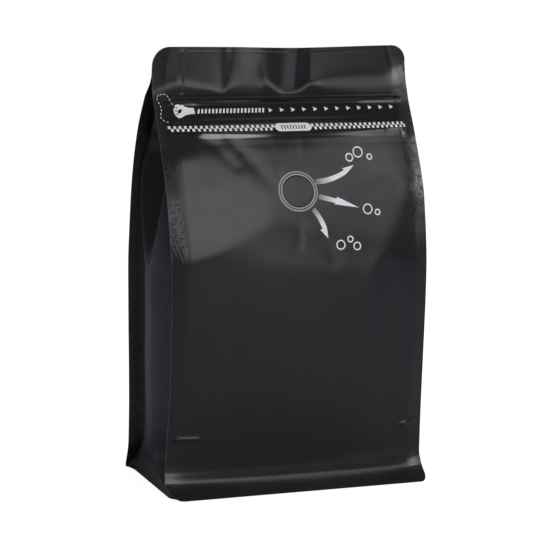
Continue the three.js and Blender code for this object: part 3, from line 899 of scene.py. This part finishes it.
ink_piece("zipper_lozenge", [ribbon(lozenge_low, lozenge_high, LOZENGE_ROWS)], ink, WHITE_PROUD)
tooth_low, tooth_high = CHECK_HEIGHT - TOOTH_HALF_HEIGHT, CHECK_HEIGHT + TOOTH_HALF_HEIGHT
teeth = [
    bar(x - TOOTH_HALF, x + TOOTH_HALF, tooth_low, tooth_high)
    for x in np.linspace(LOZENGE_X - TOOTH_REACH, LOZENGE_X + TOOTH_REACH, TOOTH_COUNT)
]
ink_piece("lozenge_teeth", teeth, film, DARK_PROUD)


# Valve print: three arrows of ink that lead out from the valve and fade in from grey to white.
# Each ends at a small group of rings, like bubbles of the gas that the valve lets out.
FADED_GREY = (0.12, 0.12, 0.12, 1)
FADE_START, FADE_END = 9.5 * MM, 19 * MM
ARROW_STEPS = 22
ARROW_TIP_LEFT = 0.03
SHAFT_ROWS = 5
GAS_ARROWS = (
    {"start": (7, 146.1), "bend": (17.6, 146.4), "tip": (27.4, 153.1), "halves": (1.25, 1), "neck": 0.74,
     "barbs": (-0.85, 2), "sweep": (0.4, -0.2)},
    {"start": (7.6, 139.5), "bend": (15, 137.7), "tip": (27.6, 133.7), "halves": (1.15, 1.05), "neck": 0.5,
     "barbs": (-1.7, 2), "sweep": (-1.2, -0.3)},
    {"start": (4.3, 133.9), "bend": (8.2, 130), "tip": (11, 120.3), "halves": (1.05, 1.15), "neck": 0.73,
     "barbs": (-2.3, 1.05), "sweep": (-0.1, 0.2)},
)
fading_ink, fade_tree, fade_shader, fade_finish = finished_material(
    "fading_ink", INK_DARK, INK_LIGHT, INK_GLOSS
)
from_valve = add_node(
    fade_tree, "ShaderNodeVectorMath", {"operation": "DISTANCE"}, Vector=object_place(fade_tree)
)
from_valve.inputs[1].default_value = (VALVE_X * MM, valve_depth * MM, VALVE_HEIGHT * MM)
fade = map_range(fade_tree, from_valve.outputs["Value"], FADE_START, FADE_END)
fade_colour = mix_colours(fade_tree, fade, FADED_GREY, fade_finish.outputs["Colour"])
fade_tree.links.new(fade_colour, fade_shader.inputs["Base Color"])


def arrow_patches(start, bend, tip, halves, neck, barbs, sweep):
    """A curved shaft and the barbed head that ends it."""
    start, bend, tip = np.array([start, bend, tip])
    t = np.linspace(0, neck, ARROW_STEPS)[:, None]
    line = (1 - t) ** 2 * start + 2 * t * (1 - t) * bend + t**2 * tip
    run = np.gradient(line, axis=0)
    run /= np.linalg.norm(run, axis=1)[:, None]
    aside = np.column_stack([-run[:, 1], run[:, 0]])
    half = np.linspace(*halves, ARROW_STEPS)[:, None]
    shaft = ribbon(line - half * aside, line + half * aside, SHAFT_ROWS)
    barb_low, barb_high = (line[-1] + out * aside[-1] + back * run[-1] for out, back in zip(barbs, sweep))
    neck_line = np.array([barb_low, *shaft[::2, -1], barb_high])
    to_tip = np.linspace(0, 1 - ARROW_TIP_LEFT, ARROW_STEPS)[:, None, None]
    head = neck_line + (tip - neck_line) * to_tip
    return [shaft, head.transpose(1, 0, 2)]


arrows = []
for arrow in GAS_ARROWS:
    arrows += arrow_patches(**arrow)
ink_piece("gas_arrows", arrows, fading_ink, WHITE_PROUD)

# Rings: across, height and radius
GAS_BUBBLES = (
    (25.6, 156.6, 2), (30.3, 158.9, 2.6), (36, 156.6, 1.5),
    (31.8, 133, 2.5), (36.7, 131.4, 1.5),
    (17, 117.2, 2.3), (21.9, 119.6, 1.6), (25.2, 116.3, 2),
)
RING_STEPS = 40
RING_STROKE = 0.6
ring_turn = np.linspace(0, 2 * math.pi, RING_STEPS, endpoint=False)
circle = np.column_stack([np.cos(ring_turn), np.sin(ring_turn)])
bubbles = [
    ribbon(np.add((x, z), radius * circle), np.add((x, z), (radius - RING_STROKE) * circle))
    for x, z, radius in GAS_BUBBLES
]
ink_piece("gas_bubbles", bubbles, ink, WHITE_PROUD, ring=True)


# Floor: one large pale sheet that the bag stands on. To the camera it also glows white, so it reads
# evenly bright to the horizon; near the bag the glow is a little weaker, a painted contact shadow.
# What the film reflects of it is painted light and shade: a pool of light in front, shade behind and beside
# the bag, the bag's shadow behind it, and the darkest contact shadow at its foot.
FLOOR_CORNERS = ((-1, -1), (1, -1), (1, 1), (-1, 1))
FLOOR_HALF = 6.0
FLOOR_LOW = -0.0002
FLOOR_ROUGHNESS = 0.9
# Edges of the painted pool of light in front and of the painted shade behind and beside the bag
LIGHT_POOL_END, DIM_START = -0.06, 0.06
LIGHT_POOL_SIDE, DIM_SIDE = 0.1, 0.4
SIDE_DIMNESS = 0.9
# Reach of the painted contact shadow round the bag's foot, then of the bag's painted shadow behind it,
# widening away from it
CONTACT_SHADOW_EDGE, DIM_EDGE = 0.07, 0.2
SHADOW_SIDE, SHADOW_EDGE = 0.06, 0.085
SHADOW_SPREAD = 0.15
LEFT_EDGE, LEFT_END = 0.066, 0.08
GUSSET_START, GUSSET_EDGE = -0.07, -0.045
# Painted tones of what the film reflects: a pool of light in front, shade round the bag, the darkest contact
# shadow at its foot
LIGHT_POOL_TONE = (0.75, 0.75, 0.79, 1)
PAINTED_SHADE_TONE = (0.5, 0.5, 0.57, 1)
CONTACT_SHADOW_TONE = (0.03, 0.03, 0.035, 1)
SEEN_TONE = (0.35, 0.35, 0.35, 1)
CONTACT_SHADOW_GLOW = (0.9, 0.9, 0.9, 1)
floor_points = [(x * FLOOR_HALF, y * FLOOR_HALF, FLOOR_LOW) for x, y in FLOOR_CORNERS]
floor_mesh = bpy.data.meshes.new("floor")
floor_mesh.from_pydata(floor_points, [], [(0, 1, 2, 3)])
floor = bpy.data.objects.new("floor", floor_mesh)
bpy.context.collection.objects.link(floor)
floor_material = bpy.data.materials.new("pale_floor")
floor_material.use_nodes = True
floor_tree = floor_material.node_tree
floor_shader = floor_tree.nodes["Principled BSDF"]
floor_shader.inputs["Roughness"].default_value = FLOOR_ROUGHNESS
floor_shader.inputs["Specular IOR Level"].default_value = 0.0
floor_place = object_place(floor_tree)
floor_x, floor_y = add_node(floor_tree, "ShaderNodeSeparateXYZ", Vector=floor_place).outputs[:2]
to_side = math_node(floor_tree, "ABSOLUTE", floor_x)
to_left = math_node(floor_tree, "MULTIPLY", floor_x, -1)
# Painted light and shade for what the film reflects: a pool of light in front, shade behind and beside the
# bag and to its left by the gusset
floor_back = map_range(floor_tree, floor_y, LIGHT_POOL_END, DIM_START)
floor_aside = map_range(floor_tree, to_side, LIGHT_POOL_SIDE, DIM_SIDE, to_high=SIDE_DIMNESS)
floor_left = map_range(floor_tree, to_left, LEFT_EDGE, LEFT_END)
floor_by_gusset = map_range(floor_tree, floor_y, GUSSET_START, GUSSET_EDGE, to_high=floor_left)
floor_beyond = math_node(floor_tree, "MAXIMUM", floor_aside, floor_by_gusset)
floor_off_light_pool = math_node(floor_tree, "MAXIMUM", floor_back, floor_beyond)
# Painted shadow: darkest at the bag's foot, and the bag's shadow in a strip behind it that widens with
# distance
from_middle = add_node(floor_tree, "ShaderNodeVectorMath", {"operation": "LENGTH"}, Vector=floor_place)
floor_away = map_range(floor_tree, from_middle.outputs["Value"], CONTACT_SHADOW_EDGE, DIM_EDGE)
shadow_slant = math_node(floor_tree, "MULTIPLY", floor_y, SHADOW_SPREAD)
from_shadow = math_node(floor_tree, "SUBTRACT", to_side, shadow_slant)
floor_beside = map_range(floor_tree, from_shadow, SHADOW_SIDE, SHADOW_EDGE)
floor_lit = math_node(floor_tree, "MINIMUM", floor_away, floor_beside)
floor_painted_shade = mix_colours(floor_tree, floor_lit, CONTACT_SHADOW_TONE, PAINTED_SHADE_TONE)
# To the camera the floor glows white, a little less near the bag: a painted contact shadow
floor_glow = mix_colours(floor_tree, floor_away, CONTACT_SHADOW_GLOW, WHITE)
floor_tone = mix_colours(floor_tree, floor_off_light_pool, LIGHT_POOL_TONE, floor_painted_shade)
floor_seen = add_node(floor_tree, "ShaderNodeLightPath").outputs["Is Camera Ray"]
floor_colour = mix_colours(floor_tree, floor_seen, floor_tone, SEEN_TONE)
floor_light = mix_colours(floor_tree, floor_seen, BLACK, floor_glow)
floor_tree.links.new(floor_colour, floor_shader.inputs["Base Color"])
floor_tree.links.new(floor_light, floor_shader.inputs["Emission Color"])
floor_shader.inputs["Emission Strength"].default_value = 1.0
floor_mesh.materials.append(floor_material)


# Studio light: soft rectangular lamps that face the bag, a tall warm one in front and cooler ones round it.
# Three stand to the right for that side and its fin, a low one and a left one fill in the front,
# and two behind lift the gusset and the back.
WARM = (1.0, 0.95, 0.93)
COOL = (0.96, 0.96, 1.0)
ROOM_TONE = (0.14, 0.14, 0.16, 1)
LIGHT_AIM = Vector((0, 0, 0.12))


def softbox(name, azimuth, elevation, distance, size, radiance, tint):
    """Rectangular lamp facing the bag; azimuth runs from straight in front towards +X."""
    lamp = bpy.data.lights.new(name, "AREA")
    lamp.shape = "RECTANGLE"
    lamp.size, lamp.size_y = size
    lamp.energy = radiance * math.pi * size[0] * size[1]
    lamp.color = tint
    light = bpy.data.objects.new(name, lamp)
    bpy.context.collection.objects.link(light)
    a, e = math.radians(azimuth), math.radians(elevation)
    away = Vector((math.sin(a) * math.cos(e), -math.cos(a) * math.cos(e), math.sin(e)))
    light.location = LIGHT_AIM + away * distance
    light.rotation_euler = away.to_track_quat("Z", "Y").to_euler()


softbox("key_softbox", azimuth=0, elevation=25, distance=1.4, size=(0.66, 0.94), radiance=2.3, tint=WARM)
softbox("side_softbox", azimuth=31, elevation=28, distance=1.4, size=(0.72, 0.78), radiance=1.3, tint=COOL)
softbox("side_middle", azimuth=45, elevation=38, distance=1.38, size=(0.16, 0.22), radiance=2.5, tint=COOL)
softbox("right_rim", azimuth=72, elevation=20, distance=1.4, size=(0.28, 0.56), radiance=6.5, tint=COOL)
softbox("front_fill", azimuth=19, elevation=1, distance=0.55, size=(0.24, 0.1), radiance=1.15, tint=COOL)
softbox("left_fill", azimuth=-27, elevation=18, distance=1.4, size=(0.36, 0.4), radiance=3.2, tint=COOL)
softbox("back_light", azimuth=180, elevation=70, distance=1.4, size=(1.2, 0.7), radiance=1.6, tint=COOL)
softbox("back_softbox", azimuth=160, elevation=24, distance=1.4, size=(0.5, 0.8), radiance=1.5, tint=COOL)
world = bpy.data.worlds.new("studio")
bpy.context.scene.world = world
world.use_nodes = True
world_tree = world.node_tree
world_seen = add_node(world_tree, "ShaderNodeLightPath").outputs["Is Camera Ray"]
world_colour = mix_colours(world_tree, world_seen, ROOM_TONE, WHITE)
world_tree.links.new(world_colour, world_tree.nodes["Background"].inputs["Color"])
bpy.context.scene.view_settings.view_transform = "Standard"


# Camera: a long lens in front of the bag's left corner, a little above its top.
# It looks down and to the right, by the angles that the bag's level and upright edges show.
CAMERA_PLACE = (-0.3149, -0.9064, 0.2308)
CAMERA_YAW = 19.15
CAMERA_PITCH = 7.87
LENS = 131.72
SENSOR_WIDTH = 36
camera_data = bpy.data.cameras.new("camera")
camera_data.lens = LENS
camera_data.sensor_width = SENSOR_WIDTH
camera = bpy.data.objects.new("camera", camera_data)
bpy.context.collection.objects.link(camera)
camera.location = CAMERA_PLACE
camera.rotation_euler = (math.radians(90 - CAMERA_PITCH), 0, math.radians(-CAMERA_YAW))
bpy.context.scene.camera = camera
